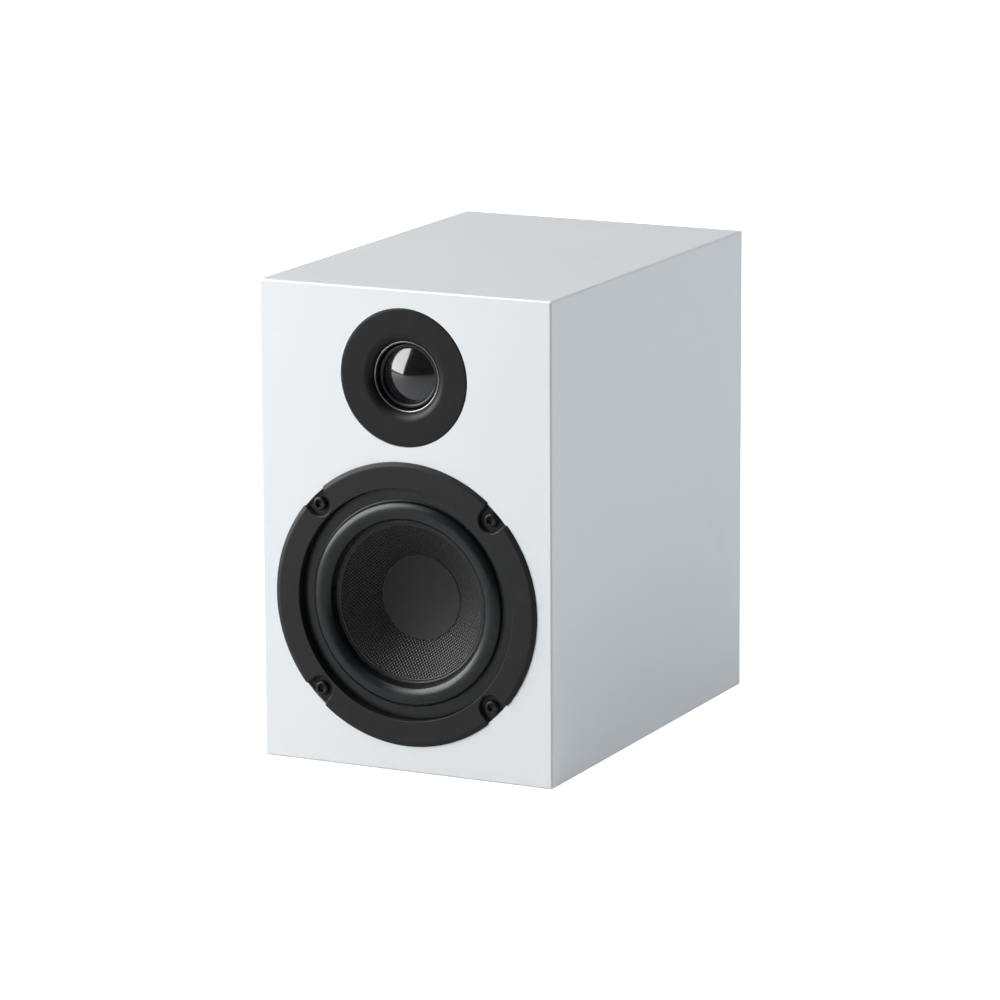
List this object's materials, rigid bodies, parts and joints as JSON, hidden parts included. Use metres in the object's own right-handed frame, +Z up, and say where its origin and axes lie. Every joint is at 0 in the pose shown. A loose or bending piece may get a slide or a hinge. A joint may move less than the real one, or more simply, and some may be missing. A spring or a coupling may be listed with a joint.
{
  "type": "bookshelf speaker",
  "caption": "Compact two-way bookshelf speaker: white lacquered box with soft-dome tweeter, woven-cone woofer, rear reflex port and binding posts.",
  "frame": {"origin": "centre of the cabinet's underside", "axes": "+Z up, the baffle and its drivers face -Y, +X is the right-hand side seen from the front"},
  "size_m": [0.15, 0.2192, 0.228],
  "materials": {
    "cabinet_lacquer": "satin white lacquer over fibreboard",
    "wadding": "fluffy polyester",
    "basket_black": "fine-textured black powder coat",
    "foam_seal": "closed-cell foam",
    "black_screw": "black oxide",
    "brass_insert": "turned",
    "surround_rubber": "matt rubber",
    "cone_weave": "glossy woven fibre in resin",
    "dust_cap_matt": "soft matt",
    "former_film": "amber film",
    "copper_wire": "enamelled copper",
    "spider_cloth": "resin-stiffened cloth",
    "zinc_steel": "zinc plated",
    "ferrite": "ground ferrite",
    "laminate": "brown laminate",
    "tab_brass": "tinned",
    "tinsel": "braided",
    "faceplate_black": "satin moulded",
    "dome_gloss": "gloss coated fabric",
    "nickel_magnet": "nickel plated",
    "felt": "felt",
    "connector_metal": "tin plated",
    "port_black": "fine moulded grain",
    "gold_metal": "gold plated",
    "terminal_red": "clear-gloss moulded",
    "terminal_black": "gloss moulded",
    "board_green": "solder mask",
    "spacer_nylon": "nylon",
    "choke_copper": "enamelled winding",
    "film_yellow": "wrapped film",
    "sleeve_blue": "shrink sleeve",
    "wire_red": "insulated wire",
    "wire_black": "insulated wire"
  },
  "bodies": {
    "cabinet": {"front_baffle": "cabinet_lacquer", "back_panel": "cabinet_lacquer", "top_panel": "cabinet_lacquer", "bottom_panel": "cabinet_lacquer", "left_panel": "cabinet_lacquer", "right_panel": "cabinet_lacquer", "damping_wadding": "wadding", "woofer_basket": "basket_black", "woofer_seal": "foam_seal", "tweeter_seal": "foam_seal", "cup_seal": "foam_seal", "woofer_screws": "black_screw", "tweeter_screws": "black_screw", "cup_screws": "black_screw", "woofer_inserts": "brass_insert", "woofer_surround": "surround_rubber", "woofer_spider": "spider_cloth", "woofer_top_plate": "zinc_steel", "woofer_yoke": "zinc_steel", "tweeter_top_plate": "zinc_steel", "tweeter_yoke": "zinc_steel", "post_nuts": "zinc_steel", "crossover_screws": "zinc_steel", "woofer_magnet": "ferrite", "woofer_terminal_strip": "laminate", "tweeter_terminal_board": "laminate", "woofer_terminal_tabs": "tab_brass", "tweeter_terminal_tabs": "tab_brass", "solder_tags": "tab_brass", "woofer_tinsel_leads": "tinsel", "tweeter_faceplate": "faceplate_black", "tweeter_chassis": "faceplate_black", "tweeter_surround": "dome_gloss", "tweeter_magnet": "nickel_magnet", "tweeter_felt_pad": "felt", "tab_connectors": "connector_metal", "port_tube": "port_black", "terminal_cup": "port_black", "red_post_stud": "gold_metal", "black_post_stud": "gold_metal", "red_post_collar": "terminal_red", "black_post_collar": "terminal_black", "crossover_board": "board_green", "crossover_spacers": "spacer_nylon", "woofer_inductor": "choke_copper", "tweeter_inductor": "choke_copper", "film_capacitor": "film_yellow", "bipolar_capacitor": "sleeve_blue", "red_wires": "wire_red", "black_wires": "wire_black"},
    "woofer_moving_parts": {"woofer_cone": "cone_weave", "woofer_dust_cap": "dust_cap_matt", "woofer_coil_former": "former_film", "woofer_voice_coil": "copper_wire"},
    "tweeter_moving_parts": {"tweeter_dome": "dome_gloss", "tweeter_voice_coil": "copper_wire"},
    "red_washer": {"red_clamp_washer": "gold_metal"},
    "black_washer": {"black_clamp_washer": "gold_metal"},
    "red_knob": {"red_post_knob": "terminal_red"},
    "black_knob": {"black_post_knob": "terminal_black"}
  },
  "joints": [
    {"name": "woofer_excursion", "type": "slide", "parent": "cabinet", "child": "woofer_moving_parts", "axis": [0, -1, 0], "range_m": [-0.0035, 0.0035], "stiffness_N_per_m": 1000, "deforming": ["woofer_surround", "woofer_spider", "woofer_tinsel_leads"]},
    {"name": "tweeter_excursion", "type": "slide", "parent": "cabinet", "child": "tweeter_moving_parts", "axis": [0, -1, 0], "range_m": [-0.0004, 0.0004], "stiffness_N_per_m": 25, "deforming": ["tweeter_surround"]},
    {"name": "red_washer_travel", "type": "slide", "parent": "cabinet", "child": "red_washer", "axis": [0, 1, 0], "range_m": [0, 0.004]},
    {"name": "red_knob_turn", "type": "hinge", "parent": "red_washer", "child": "red_knob", "pos_m": [-0.0095, 0.09575, 0.06], "axis": [0, 1, 0], "range_deg": [0, 1440]},
    {"name": "black_washer_travel", "type": "slide", "parent": "cabinet", "child": "black_washer", "axis": [0, 1, 0], "range_m": [0, 0.004]},
    {"name": "black_knob_turn", "type": "hinge", "parent": "black_washer", "child": "black_knob", "pos_m": [0.0095, 0.09575, 0.06], "axis": [0, 1, 0], "range_deg": [0, 1440]}
  ],
  "couplings": [
    {"joint": "red_knob_turn", "follows": "red_washer_travel", "rad_per_m": 6283.2},
    {"joint": "black_knob_turn", "follows": "black_washer_travel", "rad_per_m": 6283.2}
  ]
}
